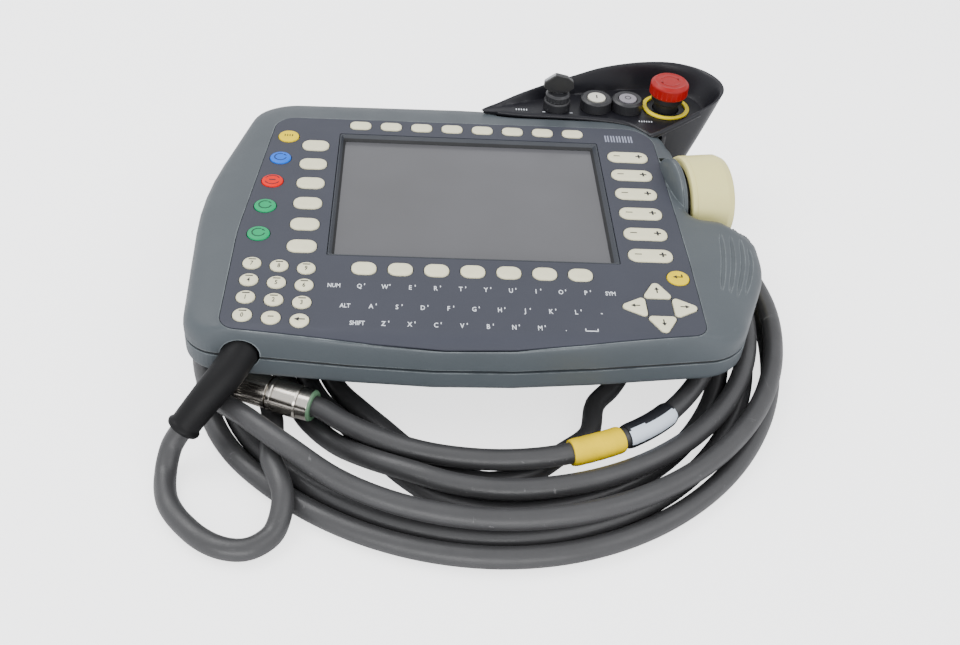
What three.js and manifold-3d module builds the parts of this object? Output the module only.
// Hand-held robot control station with its coiled cable, lying face up on the coil.
// Millimetres. Panel frame: x right, y away from the operator, z out of the key panel,
// with its origin in the middle of the display on the membrane's surface.
import * as THREE from 'three';
import { mergeVertices } from 'three/addons/utils/BufferGeometryUtils.js';
import Module from 'manifold-3d';

const wasm = await Module();
wasm.setup();

// ---------------------------------------------------------------- driving dimensions
const REST_DEPTH = 72;              // membrane surface above the rest plane
const SHIFT = { x: -12.789, y: 42.34 };   // panel origin seen from the middle of the part's foot
const GAP = 0.3;                    // clearance between neighbouring pieces

const CASING_OUTLINE = [            // corner x, corner y, corner radius
  [-161.5, -130, 22], [-1.5, -145.5, 600], [150, -125.5, 30], [177.5, -58, 70], [178, -12, 22],
  [140, -10.5, 6], [134.5, 102.5, 34], [26, 102, 60], [-6, 115, 60], [-143, 112.5, 28], [-169, 0, 250],
];
const CASING_ENVELOPE = [           // the casing before the bay for the hand controller is cut
  ...CASING_OUTLINE.slice(0, 4), [179, 2, 40], [134.5, 110, 32], ...CASING_OUTLINE.slice(8),
];
const MEMBRANE_OUTLINE = [
  [-140.5, -131.5, 9], [-10, -140.5, 400], [128.6, -127.5, 9], [128.8, -60, 300], [125.8, 86.5, 20],
  [-129, 84, 14], [-140.5, -45, 200],
];
const WALL = 2.8;                   // casing wall thickness
const PARTING_Z = -20;              // middle of the casing seal
const SEAL_THICKNESS = 1;
const SEAL_GROOVE = 1.6;            // opening between the shells around the seal
const REAR_EDGE_Z = -32;            // foot of the casing's upright side
const REAR_FLAT_Z = -46.9;          // rear face that lies on the coil
const REAR_HUMP_Z = -59;            // rear face of the middle bulge
const REAR_SLOPE = 44;              // inset of the rear face from the side
const MEMBRANE_THICKNESS = 1.2;
const ROLL_START_Y = -127;          // the panel rolls down towards the operator below this line
const ROLL_RADIUS = 14.5;
const DECK_UNDERSIDE_Z = -4.5;
const ABOVE_ALL_Z = 30;             // heights that clear the whole casing, for cutting it to outline
const BELOW_ALL_Z = -90;
const DECK_HOLE = { low: -12, high: 6 };     // a cut that passes right through the deck
const HUMP_HOLE = { low: -64, high: -50 };   // a cut that passes right through the rear bulge

const DISPLAY = { width: 164.5, height: 123, x: -0.25, y: 1.1, recess: 4 };
const DISPLAY_OPENING = { width: 173, height: 132.5, x: 0, y: -0.25 };

const KEY_TOP = 1.6;
const KEY_CLEARANCE = 0.4;
const CAP_BOTTOM_Z = -3.5;
const MAT_TOP_Z = -4.8;
const MAT_THICKNESS = 1.2;

const CABLE_RADIUS = 6;
const LOW = -REST_DEPTH + CABLE_RADIUS;      // height of a strand on the rest plane
const TOP = LOW + 12.5;                      // strand on top of one layer
const OVER = TOP + 12.5;                     // strand crossing over two layers
const COIL_CENTRE = { x: 12.5, y: -40 };

const CONTROLLER = { x: 131.3, y: 22, z: -15, turn: 9, radius: 29.5, length: 30 };
const HEAD_FACE_Z = 0;
const ESTOP = { x: 141.3, y: 116.5 };
const DRIVES_ON = { x: 90.5, y: 113.5 };
const DRIVES_OFF = { x: 112.8, y: 113.8 };
const SELECTOR = { x: 62.6, y: 111.2 };

// ---------------------------------------------------------------- finishes
const finish = (color, roughness, metalness = 0) =>
  new THREE.MeshStandardMaterial({ color, roughness, metalness });
const FINISH = {
  casing: finish(0x69737a, 0.5),
  seal: finish(0x1c1d1f, 0.85),
  membrane: finish(0x5b5d6a, 0.6),
  key: finish(0xdedccd, 0.55),
  display: finish(0x8b8c8e, 0.25),
  board: finish(0x2c6b3f, 0.6),
  black: finish(0x2b2b2f, 0.55),
  rubber: finish(0x37353a, 0.75),
  cable: finish(0x5f5f62, 0.6),
  red: finish(0xbe2823, 0.45),
  yellow: finish(0xf5d020, 0.5),
  blue: finish(0x64a5f0, 0.5),
  green: finish(0x46be8c, 0.5),
  white: finish(0xdce4eb, 0.5),
  knob: finish(0xd4d2af, 0.5),
  steel: finish(0xb9bcc0, 0.3, 1),
  nickel: finish(0xc9c4b8, 0.25, 1),
};

// ---------------------------------------------------------------- outlines
// A polygon whose corners are rounded by arcs, as a counter-clockwise list of points.
function roundedPolygon(corners, arcStep = 15) {
  const points = [];
  const count = corners.length;
  for (let i = 0; i < count; i++) {
    const here = new THREE.Vector2(corners[i][0], corners[i][1]);
    const before = new THREE.Vector2(...corners[(i + count - 1) % count].slice(0, 2));
    const after = new THREE.Vector2(...corners[(i + 1) % count].slice(0, 2));
    const radius = corners[i][2];
    const back = before.sub(here).normalize();
    const ahead = after.sub(here).normalize();
    const half = Math.acos(THREE.MathUtils.clamp(back.dot(ahead), -1, 1)) / 2;
    if (radius === 0) {
      points.push(here);
      continue;
    }
    const reach = radius / Math.tan(half);
    const centre = back.clone().add(ahead).normalize().multiplyScalar(radius / Math.sin(half)).add(here);
    const start = here.clone().addScaledVector(back, reach).sub(centre);
    const end = here.clone().addScaledVector(ahead, reach).sub(centre);
    const sweep = Math.atan2(start.cross(end), start.dot(end));
    const steps = Math.max(1, Math.round(Math.abs(sweep) / THREE.MathUtils.degToRad(arcStep)));
    for (let k = 0; k <= steps; k++) {
      points.push(start.clone().rotateAround(new THREE.Vector2(), (sweep * k) / steps).add(centre));
    }
  }
  return points;
}

const rectangle = (width, height, x = 0, y = 0, radius = 0, arcStep = 30) =>
  roundedPolygon([
    [x - width / 2, y - height / 2, radius], [x + width / 2, y - height / 2, radius],
    [x + width / 2, y + height / 2, radius], [x - width / 2, y + height / 2, radius],
  ], arcStep);

const circle = (radius, x = 0, y = 0, sides = 16) =>
  Array.from({ length: sides }, (_, i) => new THREE.Vector2(radius, 0)
    .rotateAround(new THREE.Vector2(), (2 * Math.PI * i) / sides)
    .add(new THREE.Vector2(x, y)));

// An arrow key: a triangle with rounded corners whose tip points along the given angle.
function arrowOutline(x, y, angle, grow = 0) {
  const corners = [[-6.6, -8.2, 2.6], [8.4, 0, 3.2], [-6.6, 8.2, 2.6]].map(([u, v, r]) => {
    const scale = 1 + grow / 4.6;
    const p = new THREE.Vector2(u * scale, v * scale)
      .rotateAround(new THREE.Vector2(), THREE.MathUtils.degToRad(angle));
    return [p.x + x, p.y + y, r + grow];
  });
  return roundedPolygon(corners, 40);
}

// An outline moved inwards by a constant distance.
function insetOutline(points, inset) {
  const inward = (from, to) => new THREE.Vector2(from.y - to.y, to.x - from.x).normalize();
  return points.map((p, i) => {
    const entering = inward(points[(i + points.length - 1) % points.length], p);
    const leaving = inward(p, points[(i + 1) % points.length]);
    const mitre = entering.clone().add(leaving).normalize();
    return p.clone().addScaledVector(mitre, inset / mitre.dot(leaving));
  });
}

// Drop of the panel surface where it rolls down towards the operator.
function rollDrop(y) {
  const run = Math.min(Math.max(ROLL_START_Y - y, 0), ROLL_RADIUS * 0.95);
  return ROLL_RADIUS - Math.sqrt(ROLL_RADIUS ** 2 - run ** 2);
}

// Where a ray from the panel's middle leaves an outline.
function reachAt(outline, angle) {
  const dx = Math.cos(angle);
  const dy = Math.sin(angle);
  let reach = 0;
  for (let i = 0; i < outline.length; i++) {
    const a = outline[i];
    const b = outline[(i + 1) % outline.length];
    const ex = b.x - a.x;
    const ey = b.y - a.y;
    const det = ex * dy - ey * dx;
    if (Math.abs(det) < 1e-9) continue;
    const along = (a.y * dx - a.x * dy) / det;
    const distance = (ex * a.y - ey * a.x) / det;
    if (along >= -1e-9 && along <= 1 + 1e-9 && distance > reach) reach = distance;
  }
  return reach;
}

// ---------------------------------------------------------------- solids
function geometryFrom(positions, indices) {
  const geometry = new THREE.BufferGeometry();
  geometry.setAttribute('position', new THREE.Float32BufferAttribute(positions, 3));
  geometry.setIndex(indices);
  return geometry;
}

function toSolid(geometry) {
  const bare = geometry.clone();
  for (const name of ['normal', 'uv']) bare.deleteAttribute(name);
  const merged = mergeVertices(bare, 1e-4);
  return new wasm.Manifold(new wasm.Mesh({
    numProp: 3,
    vertProperties: new Float32Array(merged.attributes.position.array),
    triVerts: new Uint32Array(merged.index.array),
  }));
}

function toGeometry(solid) {
  const mesh = solid.getMesh();
  return geometryFrom(Array.from(mesh.vertProperties), Array.from(mesh.triVerts));
}

const combine = (base, added = [], cut = []) => {
  let solid = toSolid(base);
  for (const piece of added) solid = solid.add(toSolid(piece));
  for (const piece of cut) solid = solid.subtract(toSolid(piece));
  return toGeometry(solid);
};

const intersected = (a, b) => toGeometry(toSolid(a).intersect(toSolid(b)));

// A closed skin through rings of equal point counts, from the lowest ring to the highest.
function loft(rings) {
  const count = rings[0].length;
  const positions = rings.flat().flatMap((p) => [p.x, p.y, p.z]);
  const indices = [];
  for (let level = 0; level < rings.length - 1; level++) {
    for (let i = 0; i < count; i++) {
      const a = level * count + i;
      const b = level * count + ((i + 1) % count);
      indices.push(a, b, b + count, a, b + count, a + count);
    }
  }
  const cap = (level, up) => {
    const ring = rings[level];
    const centre = ring.reduce((sum, p) => sum.add(p), new THREE.Vector3()).divideScalar(count);
    const middle = positions.length / 3;
    positions.push(centre.x, centre.y, centre.z);
    for (let i = 0; i < count; i++) {
      const a = level * count + i;
      const b = level * count + ((i + 1) % count);
      indices.push(...(up ? [a, b, middle] : [b, a, middle]));
    }
  };
  cap(0, false);
  cap(rings.length - 1, true);
  return geometryFrom(positions, indices);
}

// A straight plate between two heights, with holes.
function plate(outline, low, high, holes = []) {
  const shape = new THREE.Shape(outline);
  shape.holes = holes.map((hole) => new THREE.Path(hole));
  const geometry = new THREE.ExtrudeGeometry(shape, { depth: high - low, bevelEnabled: false });
  return geometry.translate(0, 0, low);
}

// A body of revolution about z from [radius, z] pairs, read from the bottom upwards.
function turned(profile, x = 0, y = 0, sides = 24) {
  const points = profile.map(([radius, z]) => new THREE.Vector2(radius, z));
  return new THREE.LatheGeometry(points, sides).rotateX(Math.PI / 2).translate(x, y, 0);
}

const disc = (radius, low, high, x = 0, y = 0, sides = 24) =>
  turned([[0, low], [radius, low], [radius, high], [0, high]], x, y, sides);

const box = (width, depth, low, high, x = 0, y = 0) =>
  new THREE.BoxGeometry(width, depth, high - low).translate(x, y, (low + high) / 2);

// An outline lifted to a height, as a ring for a loft.
const atHeight = (outline, z) => outline.map((p) => new THREE.Vector3(p.x, p.y, z));

const throughDeck = (outline) => plate(outline, DECK_HOLE.low, DECK_HOLE.high);
const throughHump = (outline) => plate(outline, HUMP_HOLE.low, HUMP_HOLE.high);

const station = new THREE.Group();

function addPiece(name, geometry, material) {
  const mesh = new THREE.Mesh(geometry, material);
  mesh.name = name;
  station.add(mesh);
}

// ---------------------------------------------------------------- casing surfaces
const casingLine = roundedPolygon(CASING_OUTLINE, 16);
const envelopeLine = roundedPolygon(CASING_ENVELOPE, 16);
const membraneLine = roundedPolygon(MEMBRANE_OUTLINE, 30);
const CASING_ANGLES = (() => {
  const corners = [...envelopeLine, ...membraneLine];
  const all = corners.map((p) => Math.atan2(p.y, p.x)).sort((a, b) => a - b);
  const kept = [];
  for (const angle of all) {
    if (!kept.length || angle - kept[kept.length - 1] > 0.04) kept.push(angle);
  }
  return kept;
})();
const CASING_RAYS = CASING_ANGLES.map((angle) => ({
  direction: new THREE.Vector2(Math.cos(angle), Math.sin(angle)),
  side: reachAt(envelopeLine, angle),
  panel: reachAt(membraneLine, angle),
}));

// A ring of the front face: share 0 is the upright side, 1 is the membrane's edge.
const frontRing = (share, z, grow = 0) => CASING_RAYS.map(({ direction, side, panel }) => {
  const rim = direction.clone().multiplyScalar(panel);
  const p = direction.clone().multiplyScalar(side + (panel - side) * share + grow);
  return new THREE.Vector3(p.x, p.y, z - rollDrop(rim.y) * share);
});

// A ring that stays level and stops short of the roll, to close a body over the panel.
const levelRing = (share, z, firstY = ROLL_START_Y) => frontRing(share, z).map((p) =>
  new THREE.Vector3(p.x * 0.995, Math.max(p.y * 0.995, firstY), z));

// A ring at a constant inset from the upright side.
const insetRing = (inset, z) => CASING_RAYS.map(({ direction, side }) => {
  const p = direction.clone().multiplyScalar(side - inset);
  return new THREE.Vector3(p.x, p.y, z);
});

const SHOULDER = [[0, -14], [0.04, -9], [0.16, -5.2], [0.42, -2.6], [1, -0.3]];
const FRONT_FOOT_Z = PARTING_Z + SEAL_GROOVE / 2;
const REAR_TOP_Z = PARTING_Z - SEAL_GROOVE / 2;

// Cuts a body to the casing's real outline, moved inwards.
const trimmed = (geometry, inset = 0) =>
  intersected(geometry, plate(insetOutline(casingLine, inset), BELOW_ALL_Z, ABOVE_ALL_Z));

const frontBody = (grow = 0, foot = FRONT_FOOT_Z) => trimmed(loft([
  frontRing(0, foot, grow),
  ...SHOULDER.map(([share, z]) => frontRing(share, z + grow, grow)),
  levelRing(1, SHOULDER[SHOULDER.length - 1][1] + grow),
]), -grow);

const frontHollow = trimmed(loft([
  insetRing(WALL, FRONT_FOOT_Z - 5),
  insetRing(WALL, -15.5),
  insetRing(WALL + 1.8, -10.5),
  frontRing(0.62, DECK_UNDERSIDE_Z - 4.5),
  levelRing(0.85, DECK_UNDERSIDE_Z, ROLL_START_Y - 2),
]), WALL);

const HUMP = { x: 10, y: -38, width: 150, height: 118, radius: 26 };
const humpSection = (grow, z) => atHeight(
  rectangle(HUMP.width + 2 * grow, HUMP.height + 2 * grow, HUMP.x, HUMP.y, HUMP.radius + grow, 45), z,
);
const hump = (inside) => loft([
  humpSection(-inside, REAR_HUMP_Z + inside),
  humpSection(7 - inside, REAR_FLAT_Z + 2),
  humpSection(7 - inside, REAR_FLAT_Z + 4 + inside),
]);

const rearBody = (grow = 0, top = REAR_TOP_Z) => trimmed(loft([
  insetRing(REAR_SLOPE - grow, REAR_FLAT_Z - grow),
  insetRing(REAR_SLOPE * 0.5 - grow, REAR_FLAT_Z + 4.4 - grow),
  insetRing(7 - grow, REAR_EDGE_Z - 4 - grow),
  insetRing(-grow, REAR_EDGE_Z - grow),
  insetRing(-grow, top),
]), -grow);
const rearHollow = trimmed(loft([
  insetRing(REAR_SLOPE + 2, REAR_FLAT_Z + WALL),
  insetRing(REAR_SLOPE * 0.5 + 2, REAR_FLAT_Z + 4.4 + WALL),
  insetRing(7 + 2, REAR_EDGE_Z - 1.5),
  insetRing(WALL, REAR_EDGE_Z + 1.2),
  insetRing(WALL, REAR_TOP_Z + 5),
]), WALL);

// ---------------------------------------------------------------- keys
// Rows of moulded keys: a key's size, how many, the first one's place and the step to the next.
const UPPER_ROW = { width: 15, height: 10.5, count: 8, x: -73.1, y: 76.1, stepX: 20.54, stepY: 0 };
const LOWER_ROW = { width: 15, height: 12, count: 7, x: -64.2, y: -78, stepX: 20.9, stepY: 0 };
const MENU_COLUMN = { width: 19.3, height: 13.6, count: 6, x: -101.5, y: 49.4, stepX: 0, stepY: -21.68 };
const NUMBER_PAD = {
  radius: 5.8, columns: 3, rows: 4, x: -128, y: -76.4, stepX: 15.55, stepY: -15.1, slant: -1.6,
};
const JOG = { width: 28, height: 13.6, count: 6, x: 105.4, y: 49.5, step: -21.36 };
const COLOUR_KEY_RADIUS = 7.2;
const ENTER = { radius: 7, x: 118.7, y: -78.1 };
const SLOT_GROW = 1.4;              // the deck's hole around a round key

const capsule = (width, height, x, y, grow = 0) => {
  const h = height + 2 * grow;
  return rectangle(width + 2 * grow, h, x, y, h / 2 - 1.2, 90);
};

const matKeys = [];
for (const row of [UPPER_ROW, LOWER_ROW, MENU_COLUMN]) {
  for (let i = 0; i < row.count; i++) {
    matKeys.push((g) => capsule(row.width, row.height, row.x + row.stepX * i, row.y + row.stepY * i, g));
  }
}
for (let row = 0; row < NUMBER_PAD.rows; row++) {
  for (let column = 0; column < NUMBER_PAD.columns; column++) {
    const x = NUMBER_PAD.x + NUMBER_PAD.stepX * column;
    const y = NUMBER_PAD.y + NUMBER_PAD.stepY * row + NUMBER_PAD.slant * column;
    matKeys.push((g) => circle(NUMBER_PAD.radius + g, x, y, 8));
  }
}

const COLOUR_KEYS = [
  ['key_yellow', -119.6, 59.3, FINISH.yellow],
  ['key_blue', -122.5, 33.3, FINISH.blue],
  ['key_red', -125, 7, FINISH.red],
  ['key_green_upper', -126.6, -19.9, FINISH.green],
  ['key_green_lower', -127.5, -48.1, FINISH.green],
];
const ARROW_CENTRE = { x: 104, y: -105 };
const ARROW_DISTANCE = 14.2;
const ARROW_KEYS = [['key_up', 90], ['key_left', 180], ['key_right', 0], ['key_down', 270]];

const movingKeys = [
  ...COLOUR_KEYS.map(([name, x, y, material]) => ({
    name,
    material,
    outline: (g) => circle(COLOUR_KEY_RADIUS + g, x, y, 12),
    slot: () => circle(COLOUR_KEY_RADIUS + SLOT_GROW, x, y, 12),
  })),
  {
    name: 'key_enter',
    material: FINISH.yellow,
    outline: (g) => circle(ENTER.radius + g, ENTER.x, ENTER.y, 12),
    slot: () => circle(ENTER.radius + SLOT_GROW, ENTER.x, ENTER.y, 12),
  },
  ...ARROW_KEYS.map(([name, angle]) => {
    const x = ARROW_CENTRE.x + ARROW_DISTANCE * Math.cos(THREE.MathUtils.degToRad(angle));
    const y = ARROW_CENTRE.y + ARROW_DISTANCE * Math.sin(THREE.MathUtils.degToRad(angle));
    return { name, material: FINISH.key, outline: (g) => arrowOutline(x, y, angle, g) };
  }),
];
const jogKeys = Array.from({ length: JOG.count }, (_, i) => ({
  name: `jog_key_${i + 1}`,
  material: FINISH.key,
  outline: (g) => capsule(JOG.width, JOG.height, JOG.x, JOG.y + JOG.step * i, g),
}));

// ---------------------------------------------------------------- cable path
const BOOT_RADIUS = 9.6;
const BOOT = [
  [-127, -129, -17.5], [-133.5, -139.5, -23], [-143, -149, -31.5], [-152, -156, -41], [-158.5, -160.5, -49],
];
const CABLE_INSIDE = [-117, -116, -17.5];
// Strand stations: degrees clockwise from the operator's side, radius, height.
const STATIONS = [
  // from the loop, over the outer strands and in below the others
  [42, 183, TOP], [46, 173, TOP], [53, 158.5, LOW], [62, 150.6, LOW], [88, 143, LOW], [110, 143, TOP],
  [140, 120, TOP], [175, 94, TOP], [205, 96, LOW], [270, 88, LOW], [318, 97, LOW], [338, 122, LOW],
  // four turns on the rest plane, each one outside the last
  [360, 139.8, LOW], [402, 115.5, LOW], [450, 105, LOW], [540, 109.2, LOW], [630, 148, LOW],
  [720, 160.2, LOW], [762, 129, LOW], [810, 117.8, LOW], [900, 122.4, LOW], [990, 163, LOW],
  [1080, 178.3, LOW], [1130, 176.6, LOW], [1170, 155.6, LOW], [1260, 149.5, LOW], [1350, 180, LOW],
  [1440, 190.8, LOW], [1490, 189.6, LOW], [1530, 168.5, LOW], [1610, 163, LOW], [1660, 170, TOP],
  [1710, 180, TOP],
  // three turns on top of them, back inwards to the plug
  [1800, 175.9, TOP], [1823, 177, TOP + 3], [1840, 179, OVER], [1850, 181, OVER], [1861, 184, TOP + 4],
  [1871, 180, TOP], [1890, 167, TOP], [1980, 151, TOP], [2025, 153, TOP], [2070, 164, TOP],
  [2160, 155.5, TOP], [2180, 151, TOP], [2202, 144.5, LOW], [2225, 136.6, LOW], [2250, 130.4, LOW],
  [2310, 134.5, LOW], [2328, 136, LOW], [2355, 137, TOP], [2430, 144, TOP],
  [2470, 140, TOP + 1.7], [2505, 136, TOP + 1.7], [2520, 135.3, TOP + 1], [2545, 137, TOP + 1],
  [2558, 140, TOP + 3],
];
function strandPoint(degrees) {
  let i = 0;
  while (i < STATIONS.length - 2 && degrees > STATIONS[i + 1][0]) i++;
  const [t0, r0, z0] = STATIONS[i];
  const [t1, r1, z1] = STATIONS[i + 1];
  const u = THREE.MathUtils.smoothstep(degrees, t0, t1);
  const radius = r0 + (r1 - r0) * u;
  const angle = THREE.MathUtils.degToRad(degrees);
  return new THREE.Vector3(
    COIL_CENTRE.x - radius * Math.sin(angle), COIL_CENTRE.y - radius * Math.cos(angle), z0 + (z1 - z0) * u,
  );
}
const COIL_START = STATIONS[0][0];
const COIL_END = STATIONS[STATIONS.length - 1][0];
const COIL_STEP = 10;
const COIL_COUNT = Math.round((COIL_END - COIL_START) / COIL_STEP);
const coilPoints = Array.from({ length: COIL_COUNT + 1 }, (_, i) =>
  strandPoint(COIL_START + ((COIL_END - COIL_START) * i) / COIL_COUNT));

const PLUG_AXIS = new THREE.Vector3(-0.93, 0.367, 0).normalize();
const PLUG_START = new THREE.Vector3(-89, -141.5, LOW + CABLE_RADIUS + 11.2);
const alongPlug = (distance) => PLUG_START.clone().addScaledVector(PLUG_AXIS, distance);
const LOOP = [
  [-164.5, -165, -58], [-166.5, -178, LOW], [-162, -198, LOW], [-150, -214, LOW], [-134.5, -225.5, LOW],
  [-117.8, -228, LOW], [-104.5, -217.5, LOW + 1], [-101.3, -199, TOP - 2],
];
const vectors = (list) => list.map(([x, y, z]) => new THREE.Vector3(x, y, z));

// The cable's free end: out of the boot and round the loop, up to the first strand.
const lead = new THREE.CatmullRomCurve3([
  ...vectors([CABLE_INSIDE, ...BOOT, ...LOOP]), coilPoints[0], coilPoints[1],
], false, 'centripetal');
const LEAD_STEPS = 2;
const LEAD_COUNT = LEAD_STEPS * (1 + BOOT.length + LOOP.length);
const leadPoints = Array.from({ length: LEAD_COUNT + 1 }, (_, i) =>
  lead.getPoint(i / LEAD_STEPS / (lead.points.length - 1)));

// A curve that is cut into steps at its own points.
function curveThrough(points) {
  const curve = new THREE.CatmullRomCurve3(points, false, 'centripetal');
  curve.getUtoTmapping = (share) => share;
  return curve;
}
const cableCurve = curveThrough([
  ...leadPoints, ...coilPoints.slice(1), alongPlug(-4), alongPlug(5), alongPlug(15),
]);

// A stretch of the cable between two of its points.
function cableStretch(first, last, steps) {
  const whole = cableCurve.points.length - 1;
  return curveThrough(Array.from({ length: steps + 1 }, (_, i) =>
    cableCurve.getPoint((first + ((last - first) * i) / steps) / whole)));
}
const coilIndex = (degrees) => LEAD_COUNT + (degrees - COIL_START) / COIL_STEP;

function tube(curve, radius, steps, sides) {
  const section = new THREE.Shape(circle(radius, 0, 0, sides));
  return new THREE.ExtrudeGeometry(section, { steps, extrudePath: curve, bevelEnabled: false });
}
const bootPassage = tube(cableStretch(0, 8, 8), BOOT_RADIUS + 2 * GAP, 8, 16);

// ---------------------------------------------------------------- casing pieces
// Axis of the hand controller on the casing's right side.
const controllerFrame = new THREE.Matrix4()
  .makeTranslation(CONTROLLER.x, CONTROLLER.y, CONTROLLER.z)
  .multiply(new THREE.Matrix4().makeRotationZ(THREE.MathUtils.degToRad(CONTROLLER.turn)))
  .multiply(new THREE.Matrix4().makeRotationY(Math.PI / 2));
const onController = (profile, sides = 22) => turned(profile, 0, 0, sides).applyMatrix4(controllerFrame);

const controllerPod = onController([[0, -14], [5, -14], [14.2, -3.4], [CONTROLLER.radius - 1, 0], [0, 0]]);
const controllerClearance = onController([[0, 0], [33, 0], [33, 60], [0, 60]]);
const controllerPassage = onController([[0, -30], [9, -30], [9, 1], [0, 1]], 20);
const bayWall = onController([[0, -3], [35, -3], [35, 0], [0, 0]]);
const upperPod = intersected(controllerPod, box(90, 90, FRONT_FOOT_Z, 40, CONTROLLER.x, CONTROLLER.y));
const lowerPod = intersected(controllerPod, box(90, 90, -90, REAR_TOP_Z, CONTROLLER.x, CONTROLLER.y));

const deckWindows = [
  rectangle(166, 14.5, -1.2, UPPER_ROW.y, 5, 45),
  rectangle(145.5, 15, -1.5, LOWER_ROW.y, 5, 45),
  rectangle(23, 128, -101.9, -4.8, 5, 45),
  rectangle(31.5, 127, JOG.x, -3.9, 5, 45),
  roundedPolygon([[-136, -129.5, 7], [-88.5, -133, 7], [-88.5, -71, 7], [-136, -68.5, 7]], 45),
  rectangle(46, 46, ARROW_CENTRE.x, ARROW_CENTRE.y, 8, 45),
  ...movingKeys.filter((key) => key.slot).map((key) => key.slot()),
];
// The display's opening, moved inwards and with a corner radius.
const openingOutline = (inset, radius, arcStep) => rectangle(
  DISPLAY_OPENING.width - 2 * inset, DISPLAY_OPENING.height - 2 * inset,
  DISPLAY_OPENING.x, DISPLAY_OPENING.y, radius, arcStep,
);
const displayOpening = openingOutline(0, 1.5, 45);

const SCREWS = [[-139, -96], [-132, 84], [112, 84], [142, -92]];
const SCREW = { shank: 1.75, head: 3.4, seat: -30, top: -9 };

// The panel as a strip that follows the roll, cut to the membrane's outline.
function rollingSheet(top, thickness) {
  const upper = [[120, 0], [ROLL_START_Y, 0]];
  for (let i = 1; i <= 4; i++) {
    const y = ROLL_START_Y - (ROLL_RADIUS * 0.93 * i) / 4;
    upper.push([y, -rollDrop(y)]);
  }
  const profile = [...upper, ...upper.map(([y, z]) => [y, z - thickness]).reverse()]
    .map(([y, z]) => new THREE.Vector2(y, z + top));
  const sheet = new THREE.ExtrudeGeometry(new THREE.Shape(profile), { depth: 400, bevelEnabled: false });
  const turn = new THREE.Matrix4().makeBasis(
    new THREE.Vector3(0, 1, 0), new THREE.Vector3(0, 0, 1), new THREE.Vector3(1, 0, 0),
  );
  return sheet.applyMatrix4(turn).translate(-200, 0, 0);
}

const shrunkPanel = (inset) =>
  CASING_RAYS.map(({ direction, panel }) => direction.clone().multiplyScalar(panel - inset));

// --- front shell
const panelPocket = intersected(
  rollingSheet(2, MEMBRANE_THICKNESS + 2 + GAP), throughDeck(shrunkPanel(0.6)),
);
const frontBosses = SCREWS.map(([x, y]) => disc(5, FRONT_FOOT_Z + GAP, DECK_UNDERSIDE_Z + 1, x, y, 8));
const frontShell = combine(
  combine(combine(frontBody(), [], [frontHollow]), [upperPod, intersected(bayWall, frontBody())]),
  frontBosses,
  [
    panelPocket,
    throughDeck(displayOpening),
    ...deckWindows.map(throughDeck),
    ...SCREWS.map(([x, y]) => disc(SCREW.shank + GAP, FRONT_FOOT_Z - 1, SCREW.top + 0.6, x, y, 8)),
    bootPassage,
    controllerClearance,
    controllerPassage,
  ],
);
addPiece('front_shell', frontShell, FINISH.casing);

// --- rear shell
const enableWindows = [
  ['enable_switch_left', -48, -38], ['enable_switch_centre', 10, -38], ['enable_switch_right', 68, -38],
];
const ENABLE = { width: 15, height: 62, proud: 5 };
const START = { x: 39, y: -38, radius: 7 };
const REAR_KEY_DEPTH = 7;           // how far the rear keys reach into the bulge
const rearBosses = SCREWS.map(([x, y]) => disc(6, REAR_FLAT_Z, REAR_TOP_Z - GAP, x, y, 8));
const rearOutside = toSolid(combine(rearBody(), [hump(0)]));
const rearInside = toSolid(combine(rearHollow, [hump(WALL)]));
const rearShellSolid = rearOutside.subtract(rearInside)
  .add(toSolid(lowerPod)).add(toSolid(bayWall).intersect(rearOutside))
  .add(rearBosses.map(toSolid).reduce((sum, boss) => sum.add(boss)).intersect(rearOutside));
const rearShell = combine(toGeometry(rearShellSolid), [], [
  ...SCREWS.map(([x, y]) => disc(SCREW.shank + GAP, -60, REAR_TOP_Z + 1, x, y, 8)),
  ...SCREWS.map(([x, y]) => disc(SCREW.head + GAP, -60, SCREW.seat, x, y, 10)),
  ...enableWindows.map(([, x, y]) =>
    throughHump(rectangle(ENABLE.width + 2 * KEY_CLEARANCE, ENABLE.height + 2 * KEY_CLEARANCE, x, y, 4, 45))),
  disc(START.radius + KEY_CLEARANCE, HUMP_HOLE.low, HUMP_HOLE.high, START.x, START.y, 20),
  bootPassage,
  controllerClearance,
  controllerPassage,
]);
addPiece('rear_shell', rearShell, FINISH.casing);

// --- seal between the shells
const SEAL_LOW = PARTING_Z - SEAL_THICKNESS / 2;
const SEAL_HIGH = PARTING_Z + SEAL_THICKNESS / 2;
const sealBridge = roundedPolygon([           // passes behind the hand controller
  [112, -15, 0], [150, -15, 0], [150, -11.9, 0], [116, -11.9, 0],
  [116, 55.8, 0], [135.5, 55.8, 0], [135.5, 60, 0], [112, 60, 0],
]);
const sealFrame = combine(plate(insetOutline(casingLine, 0.7), SEAL_LOW, SEAL_HIGH), [], [
  plate(insetOutline(casingLine, WALL + 0.4), SEAL_LOW - 1, SEAL_HIGH + 1),
  bootPassage,
  controllerClearance,
]);
addPiece('housing_seal', combine(sealFrame, [plate(sealBridge, SEAL_LOW, SEAL_HIGH)]), FINISH.seal);

SCREWS.forEach(([x, y], i) => addPiece(`case_screw_${i + 1}`, turned([
  [0, SCREW.seat - 2.6], [SCREW.head, SCREW.seat - 2.6], [SCREW.head, SCREW.seat - GAP],
  [SCREW.shank, SCREW.seat - GAP], [SCREW.shank, SCREW.top], [0, SCREW.top + 0.4],
], x, y, 8), FINISH.steel));

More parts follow.
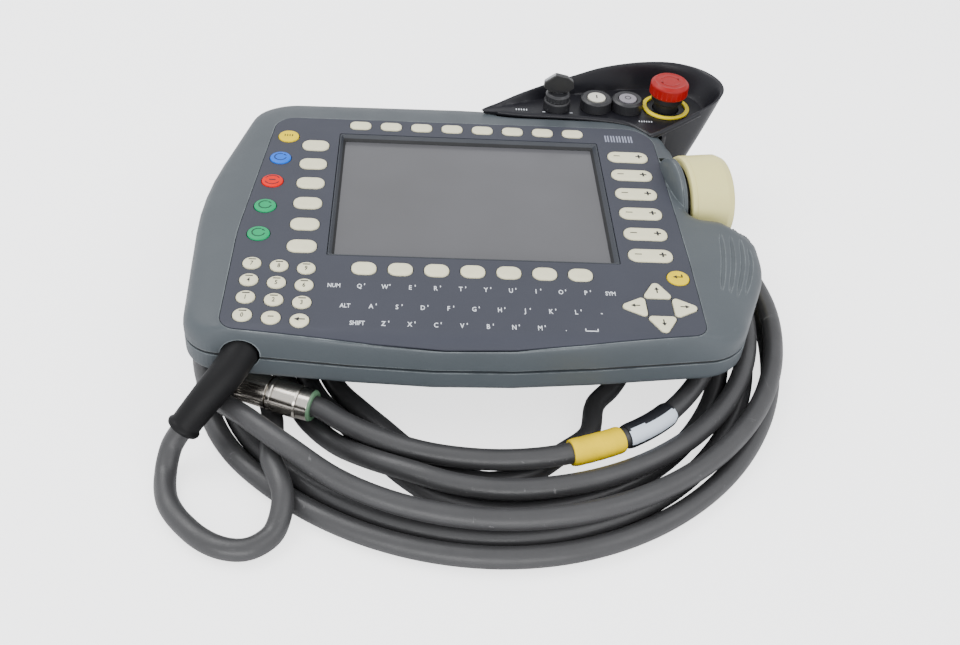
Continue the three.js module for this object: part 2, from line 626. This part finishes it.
// --- membrane, key mat and keys
const holeOutlines = [...matKeys, ...[...movingKeys, ...jogKeys].map((key) => key.outline)];
const membranePlate = combine(plate(shrunkPanel(0.9), -12, 4), [], [
  plate(displayOpening, -13, 5), ...holeOutlines.map((outline) => plate(outline(KEY_CLEARANCE), -13, 5)),
]);
addPiece('membrane_panel', intersected(rollingSheet(0, MEMBRANE_THICKNESS), membranePlate), FINISH.membrane);

const matOutline = roundedPolygon([
  [-136, -122, 8], [-88, -126, 8], [118, -122, 8], [120.4, -60, 8],
  [118, 79, 8], [-124, 79, 8], [-134.5, -40, 20],
], 45);
const moduleOpening = rectangle(182.2, 140, -0.1, 0.3, 2, 45);
const matPlate = plate(matOutline, MAT_TOP_Z - MAT_THICKNESS, MAT_TOP_Z, [moduleOpening]);
const keyMat = combine(matPlate, matKeys.map((outline) => plate(outline(0), MAT_TOP_Z - 0.5, KEY_TOP)));
addPiece('key_mat', keyMat, FINISH.key);

for (const key of movingKeys) {
  addPiece(key.name, plate(key.outline(0), CAP_BOTTOM_Z, KEY_TOP), key.material);
}
for (const key of jogKeys) {
  addPiece(key.name, plate(key.outline(0), CAP_BOTTOM_Z + 0.2, KEY_TOP), key.material);
}

// --- display
const frameOuter = openingOutline(KEY_CLEARANCE, 1.2, 45);
const glassOutline = rectangle(DISPLAY.width, DISPLAY.height, DISPLAY.x, DISPLAY.y);
const frameFunnel = loft([
  atHeight(glassOutline, -2 * DISPLAY.recess),
  atHeight(glassOutline, -DISPLAY.recess),
  atHeight(openingOutline(1.5, 0), 0.4),
]);
const framePlate = plate(frameOuter, -DISPLAY.recess, -0.1);
addPiece('display_frame', combine(framePlate, [], [frameFunnel]), FINISH.membrane);
const WINDOW = { width: 171, height: 130, low: -6.2 };
const windowOutline = rectangle(WINDOW.width, WINDOW.height, DISPLAY_OPENING.x, DISPLAY_OPENING.y, 1, 45);
addPiece('display_window', plate(windowOutline, WINDOW.low, -DISPLAY.recess - GAP), FINISH.display);
addPiece('display_module', box(181, 138.6, -15.5, -6.6, -0.1, 0.3), FINISH.steel);

// --- circuit boards
addPiece('keypad_board', plate(matOutline, -8, -6.4, [moduleOpening]), FINISH.board);
addPiece('main_board', combine(box(230, 150, -24.6, -23, 0, -15), [
  box(32, 32, -23.4, -19.5, -30, -20),
  box(40, 12, -23.4, -17.5, 45, 38),
  box(22, 60, -23.4, -18.5, 85, -30),
  box(60, 9, -23.4, -17, -60, -78), box(18, 18, -23.4, -20.5, 20, -55),
]), FINISH.board);

// --- enabling switches and start button on the rear
for (const [name, x, y] of enableWindows) {
  const crown = rectangle(ENABLE.width - 4, ENABLE.height - 5, x, y, 3, 45);
  const side = rectangle(ENABLE.width, ENABLE.height, x, y, 3.6, 45);
  addPiece(name, loft([
    atHeight(crown, REAR_HUMP_Z - ENABLE.proud),
    atHeight(side, REAR_HUMP_Z - ENABLE.proud + 2),
    atHeight(side, REAR_HUMP_Z + REAR_KEY_DEPTH),
  ]), FINISH.black);
}
addPiece('start_button', turned([
  [0, REAR_HUMP_Z - 3.4], [START.radius - 1.5, REAR_HUMP_Z - 3.4], [START.radius, REAR_HUMP_Z - 2],
  [START.radius, REAR_HUMP_Z + REAR_KEY_DEPTH], [0, REAR_HUMP_Z + REAR_KEY_DEPTH],
], START.x, START.y, 20), FINISH.green);

// ---------------------------------------------------------------- control head
// Rim of the scoop: x, y, z of its edge, and the foot below each point.
const RIM = [
  [9.5, 104, 0], [38, 101.6, 0], [64.5, 101, 0], [92.5, 99, 0], [112.5, 94, 0], [123.5, 83, 0],
  [126, 79.5, 0.5],
  [140, 84, 5], [160, 94, 11], [174, 104, 15], [180, 114, 17], [180, 125, 18], [173.5, 138, 18],
  [162, 147, 18], [148, 151.5, 18], [132, 151, 18], [115, 148, 17.5], [95, 142.5, 16], [77, 136, 13],
  [58.5, 129.5, 9.5],
  [36.5, 119.5, 5.5], [21, 111.5, 2],
];
const FOOT = [
  [22, 105, -9], [40, 104, -20], [62, 103, -32], [88, 103, -40], [106, 101, -44], [118, 94, -45],
  [124, 86, -45], [131, 82, -45], [139, 84, -45], [146, 89, -45], [151, 97, -45], [153, 106, -45],
  [151, 115, -45], [146, 121, -45], [138, 125, -45], [127, 126, -45], [112, 125, -44], [93, 122, -40],
  [76, 119, -34], [59, 116, -26], [40, 111, -18], [28, 107, -11],
];
const between = (a, b, t, sag = 0) => a.map((p, i) => {
  const q = p.clone().lerp(b[i], t);
  q.z -= sag;
  return q;
});
const rim = vectors(RIM);
const foot = vectors(FOOT);
const headOutside = loft([foot, between(foot, rim, 0.45, 2), between(foot, rim, 0.8, 1.2), rim]);

// The scoop above the control face.
const toward = (ring, x, y, share, z) => ring.map((p) =>
  new THREE.Vector3(p.x + (x - p.x) * share, p.y + (y - p.y) * share, z ?? p.z));
const SCOOP_CENTRE = [118, 108];
const scoop = loft([
  toward(rim, ...SCOOP_CENTRE, 0.2, HEAD_FACE_Z),
  toward(rim, ...SCOOP_CENTRE, 0.045)
    .map((p, i) => p.setZ(Math.max(HEAD_FACE_Z + 0.05, rim[i].z - 1))),
  toward(rim, ...SCOOP_CENTRE, 0.03).map((p, i) => p.setZ(rim[i].z + 30)),
]);

const HEAD_WALL = 3;
const HEAD_SPLIT_Z = -24;
const headHollow = loft([
  foot.map((p) => new THREE.Vector3(
    p.x + (112 - p.x) * 0.16, p.y + (106 - p.y) * 0.26, Math.min(p.z + 3.5, -12),
  )),
  toward(between(foot, rim, 0.4), 112, 110, 0.2, -16),
  toward(between(foot, rim, 0.7), 112, 110, 0.24, -HEAD_WALL),
]);
const casingKeepout = combine(frontBody(GAP, -19), [rearBody(GAP, -18), controllerPod]);
const controlHoles = [
  disc(9.6, -16, 6, ESTOP.x, ESTOP.y, 20),
  ...[DRIVES_ON, DRIVES_OFF, SELECTOR].map(({ x, y }) => disc(7.3, -16, 6, x, y, 16)),
];
const headBody = combine(headOutside, [], [scoop, headHollow, casingKeepout]);
const below = (z) => box(400, 400, z, 100);
const above = (z) => box(400, 400, -200, z);
addPiece('head_shell', combine(headBody, [], [...controlHoles, above(HEAD_SPLIT_Z)]), FINISH.black);
addPiece('head_cover', combine(headBody, [], [below(HEAD_SPLIT_Z - GAP)]), FINISH.black);

// Emergency stop: ring, collar, pushed stem, turned mushroom cap and contact block.
const STOP = { travel: 4.5, capRadius: 13.5, capLow: 12, capHigh: 22, ringRadius: 16.75, ringWidth: 3 };
addPiece('estop_ring', turned([
  [STOP.ringRadius - STOP.ringWidth, GAP], [STOP.ringRadius, GAP], [STOP.ringRadius, 1.5],
  [STOP.ringRadius - STOP.ringWidth, 1.8], [STOP.ringRadius - STOP.ringWidth, GAP],
], ESTOP.x, ESTOP.y, 24), FINISH.yellow);
addPiece('estop_stem', turned([
  [0, -14], [8.6, -14], [8.6, 6], [11.2, 7.5], [11.2, STOP.capLow - GAP], [0, STOP.capLow - GAP],
], ESTOP.x, ESTOP.y, 18), FINISH.black);
addPiece('estop_cap', turned([
  [0, STOP.capLow], [STOP.capRadius - 0.8, STOP.capLow], [STOP.capRadius, STOP.capLow + 1],
  [STOP.capRadius, STOP.capHigh - 2], [STOP.capRadius - 1.6, STOP.capHigh - 0.4], [0, STOP.capHigh],
], ESTOP.x, ESTOP.y, 24), FINISH.red);
addPiece('estop_block', box(15, 13, -31, -14 - STOP.travel - 0.6, ESTOP.x - 4, ESTOP.y - 5), FINISH.seal);

// Drive buttons: a bezel with a lit insert that is pushed into it.
const DRIVE = { bezelRadius: 11, bezelTop: 8.5, insertRadius: 6.3 };
const DRIVE_BUTTONS = [['drives_on', DRIVES_ON, FINISH.white], ['drives_off', DRIVES_OFF, FINISH.steel]];
for (const [name, { x, y }, material] of DRIVE_BUTTONS) {
  addPiece(`${name}_bezel`, turned([
    [5.4, -13], [7, -13], [7, GAP], [DRIVE.bezelRadius, GAP], [DRIVE.bezelRadius, DRIVE.bezelTop - 1.2],
    [DRIVE.bezelRadius - 1.6, DRIVE.bezelTop], [6.8, DRIVE.bezelTop - 0.6], [6.8, 3], [5.4, 3], [5.4, -13],
  ], x, y, 16), FINISH.black);
  addPiece(`${name}_button`, turned([
    [0, -14.5], [4.9, -14.5], [4.9, DRIVE.bezelTop - 2.7], [DRIVE.insertRadius, DRIVE.bezelTop - 2.7],
    [DRIVE.insertRadius, DRIVE.bezelTop], [0, DRIVE.bezelTop + 0.3],
  ], x, y, 16), material);
}
addPiece('switch_board', combine(box(36, 10, -23.6, -22, 102, 112.2), [
  box(9, 9, -22.4, -17.6, DRIVES_ON.x, 112.2), box(9, 9, -22.4, -17.6, DRIVES_OFF.x - 0.5, 112.2),
]), FINISH.board);

// Mode selector: collar, rotor and the key that turns it.
const KEY_BLADE = { width: 7.2, thickness: 2.2, low: -7 };
addPiece('selector_collar', turned([
  [5.2, -11], [7, -11], [7, GAP], [9.4, GAP], [9.4, 6], [8.8, 7], [5.2, 7], [5.2, -11],
], SELECTOR.x, SELECTOR.y, 16), FINISH.black);
const rotorSlot = box(
  KEY_BLADE.width + 2 * GAP, KEY_BLADE.thickness + 2 * GAP, KEY_BLADE.low - 1, 20, SELECTOR.x, SELECTOR.y,
);
addPiece('selector_rotor', combine(turned([
  [0, -12.5], [4.8, -12.5], [4.8, 7 + GAP], [8.6, 7 + GAP], [8.6, 11], [7.4, 12.5], [0, 12.5],
], SELECTOR.x, SELECTOR.y, 16), [], [rotorSlot]), FINISH.black);
const KEY_BOW = [                   // the key's flat handle, seen from the front: x, height, corner radius
  [-6, 12.9, 1], [6, 12.9, 1], [10.4, 17, 2], [10.2, 22, 2],
  [6.5, 25.4, 2], [-5, 25.4, 2], [-10.2, 21.5, 2], [-10.4, 16.5, 2],
];
const BOW_HALF_THICKNESS = 1.7;
const bow = plate(roundedPolygon(KEY_BOW, 45), -BOW_HALF_THICKNESS, BOW_HALF_THICKNESS)
  .rotateX(Math.PI / 2).translate(SELECTOR.x, SELECTOR.y, 0);
addPiece('selector_key', combine(bow, [
  box(KEY_BLADE.width, KEY_BLADE.thickness, KEY_BLADE.low, 16, SELECTOR.x, SELECTOR.y),
]), FINISH.steel);

// ---------------------------------------------------------------- hand controller
const CAP_RIM = 6;
addPiece('controller_flange', onController([
  [0, -9], [8.6, -9], [8.6, GAP], [28.4, GAP], [28.4, 3], [8, 3], [8, 12], [0, 12],
]), FINISH.black);
addPiece('controller_spring_plate', onController([
  [8.6, 5.5], [12, 5.5], [12, 14], [8.6, 14], [8.6, 5.5],
], 18), FINISH.steel);
addPiece('controller_gimbal', onController([
  [12.8, 7], [17, 7], [17, 12], [12.8, 12], [12.8, 7],
], 18), FINISH.steel);
const capTop = CAP_RIM + CONTROLLER.length;
addPiece('controller_cap', onController([
  [0, capTop - 5], [24.5, capTop - 5], [24.5, CAP_RIM], [CONTROLLER.radius, CAP_RIM],
  [CONTROLLER.radius, capTop - 5], [CONTROLLER.radius - 1.4, capTop - 1.6], [CONTROLLER.radius - 4.6, capTop],
  [0, capTop],
], 32), FINISH.knob);

// ---------------------------------------------------------------- cable
addPiece('cable', tube(cableCurve, CABLE_RADIUS, cableCurve.points.length - 1, 6), FINISH.cable);

const boot = combine(tube(cableStretch(2, 10, 8), BOOT_RADIUS, 8, 16), [
  tube(cableStretch(9.3, 10, 1), BOOT_RADIUS + 1.6, 1, 16),
], [tube(cableStretch(1, 12, 11), CABLE_RADIUS + 1.1, 11, 8)]);
addPiece('cable_boot', boot, FINISH.rubber);

// Sleeves that mark the cable on its last turn.
function sleeve(from, to, radius) {
  const outer = cableStretch(coilIndex(from), coilIndex(to), 4);
  const first = Math.floor(coilIndex(from - 5));
  const last = Math.ceil(coilIndex(to + 5));
  const bore = cableStretch(first, last, last - first);
  return combine(tube(outer, radius, 4, 12), [], [tube(bore, CABLE_RADIUS + 0.8, last - first, 8)]);
}
const MARKER = { from: 2493.5, to: 2506.5, radius: 7.8 };
const LABEL = { from: 2478, to: 2492, radius: 7.5 };
addPiece('marker_sleeve', sleeve(MARKER.from, MARKER.to, MARKER.radius), FINISH.yellow);
addPiece('cable_label', sleeve(LABEL.from, LABEL.to, LABEL.radius), FINISH.white);

// ---------------------------------------------------------------- plug
const plugFrame = new THREE.Matrix4().lookAt(PLUG_AXIS, new THREE.Vector3(), new THREE.Vector3(0, 0, 1))
  .setPosition(PLUG_START);
const onPlug = (profile, sides) => turned(profile, 0, 0, sides).applyMatrix4(plugFrame);
addPiece('plug_clamp_nut', onPlug([
  [6.9, 0], [8.6, 0], [9.3, 1.4], [9.3, 8], [6.9, 8], [6.9, 0],
], 12), FINISH.nickel);
addPiece('plug_backshell', onPlug([
  [6.9, 8 + GAP], [9.9, 8 + GAP], [9.9, 26], [7.8, 26], [7.8, 29.5], [6.9, 29.5], [6.9, 8 + GAP],
], 16), FINISH.nickel);
addPiece('plug_coupling_ring', onPlug([
  [8.1, 27.2], [9.5, 27.2], [9.5, 45], [8.8, 46], [8.1, 46], [8.1, 27.2],
], 16), FINISH.nickel);
addPiece('plug_insert', onPlug([
  [0, 30], [7.5, 30], [7.5, 42], [0, 42],
], 12), FINISH.seal);

station.position.set(SHIFT.x, SHIFT.y, REST_DEPTH);

export default station;
